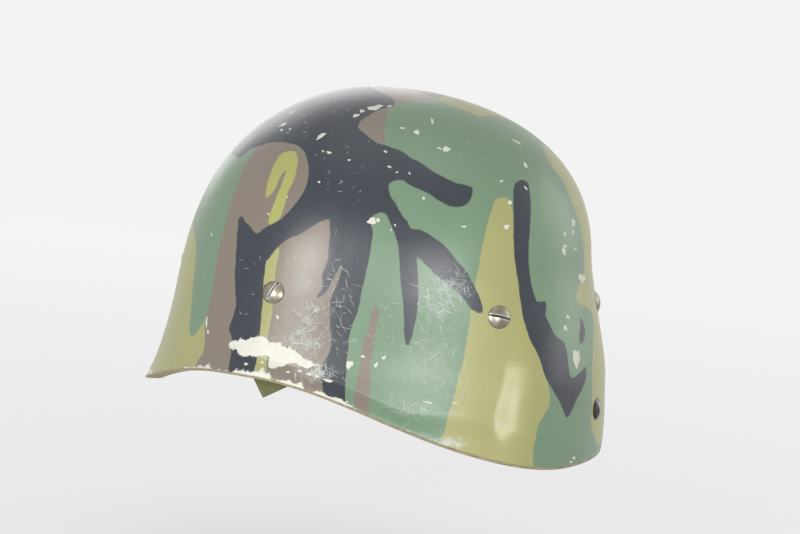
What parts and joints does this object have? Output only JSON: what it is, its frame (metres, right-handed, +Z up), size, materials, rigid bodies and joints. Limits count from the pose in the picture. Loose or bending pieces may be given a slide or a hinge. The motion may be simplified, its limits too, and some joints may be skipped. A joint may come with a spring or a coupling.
{
  "type": "combat helmet",
  "caption": "Moulded combat helmet with a flared brow and deep nape, domed screws, webbing suspension, leather headband and swinging chin strap.",
  "frame": {"origin": "centre of the helmet's footprint, on the plane that the brow and the two rear corners of the rim stand on", "axes": "+Z up to the crown, the wearer looks along -Y, +X is the wearer's left"},
  "size_m": [0.244, 0.2622, 0.1837],
  "materials": {
    "camo_paint": "hand-brushed camouflage enamel on a moulded laminate, satin, chipped",
    "bead": "matt resin bead",
    "screw_metal": "worn nickel",
    "dark_screw": "dark, tarnished",
    "nut_metal": "zinc plated",
    "washer_rubber": "matt",
    "webbing": "woven olive drab",
    "lace": "braided cord",
    "leather": "worn brown",
    "rivet_brass": "aged",
    "dark_steel": "blackened"
  },
  "bodies": {
    "shell": {"shell": "camo_paint", "edge_bead": "bead", "suspension_screws": "screw_metal", "nape_screws": "dark_screw", "suspension_nuts": "nut_metal", "nape_nuts": "nut_metal", "spacer_washers": "washer_rubber", "suspension_band": "webbing", "crown_strap_1": "webbing", "crown_strap_2": "webbing", "crown_strap_3": "webbing", "crown_strap_4": "webbing", "crown_strap_5": "webbing", "crown_strap_6": "webbing", "crown_lace": "lace", "headband": "leather", "headband_clips": "dark_steel", "headband_adjuster": "dark_steel", "nape_strap": "webbing", "nape_pad": "leather", "hanger_left": "dark_steel", "hanger_right": "dark_steel", "strap_rivets": "rivet_brass", "strap_tail": "webbing"},
    "chin_strap": {"end_plate_left": "dark_steel", "end_plate_right": "dark_steel", "chin_webbing": "webbing"},
    "ladder_buckle_left": {"ladder_buckle_left": "dark_steel"},
    "ladder_buckle_right": {"ladder_buckle_right": "dark_steel"},
    "chin_cup": {"chin_cup": "leather"}
  },
  "joints": [
    {"name": "strap_swing", "type": "hinge", "parent": "shell", "child": "chin_strap", "pos_m": [0, -0.05685, 0.04252], "axis": [1, 0, 0], "range_deg": [-94, 4]},
    {"name": "buckle_left_slide", "type": "slide", "parent": "chin_strap", "child": "ladder_buckle_left", "axis": [0, 0.9772, -0.2125], "range_m": [-0.008, 0.014]},
    {"name": "buckle_right_slide", "type": "slide", "parent": "chin_strap", "child": "ladder_buckle_right", "axis": [0, 0.9772, -0.2125], "range_m": [-0.008, 0.014]},
    {"name": "cup_slide", "type": "slide", "parent": "chin_strap", "child": "chin_cup", "axis": [1, 0, 0], "range_m": [-0.008, 0.008]}
  ]
}
